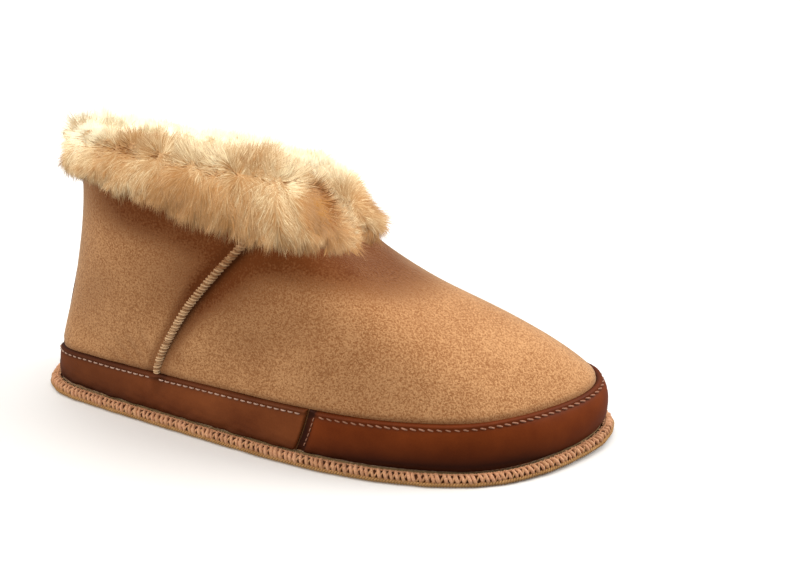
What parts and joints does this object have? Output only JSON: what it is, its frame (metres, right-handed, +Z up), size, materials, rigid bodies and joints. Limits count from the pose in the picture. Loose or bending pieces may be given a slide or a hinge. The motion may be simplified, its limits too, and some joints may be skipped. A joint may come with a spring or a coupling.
{
  "type": "sheepskin slipper",
  "caption": "Ankle-high suede slipper with a turned-down wool cuff, a leather band round the foot, a heel strap with pull loop and an overlocked sole edge.",
  "frame": {"origin": "on the ground, under the middle of the slipper's box", "axes": "+X to the toe, +Y to the inner (medial) side, +Z up"},
  "size_m": [0.2588, 0.1, 0.1325],
  "materials": {
    "suede": "napped suede",
    "leather": "smooth, semi-gloss",
    "wool": "long wool pile",
    "thread": "overlocked thread",
    "sole_suede": "napped suede"
  },
  "bodies": {
    "root": {"outsole": "sole_suede", "insole": "wool", "upper": "suede", "fur_cuff": "wool", "edge_binding": "thread", "band_front": "leather", "band_rear_lateral": "leather", "band_rear_medial": "leather", "heel_strap": "leather", "pull_loop": "leather", "side_tag": "leather"}
  },
  "joints": []
}
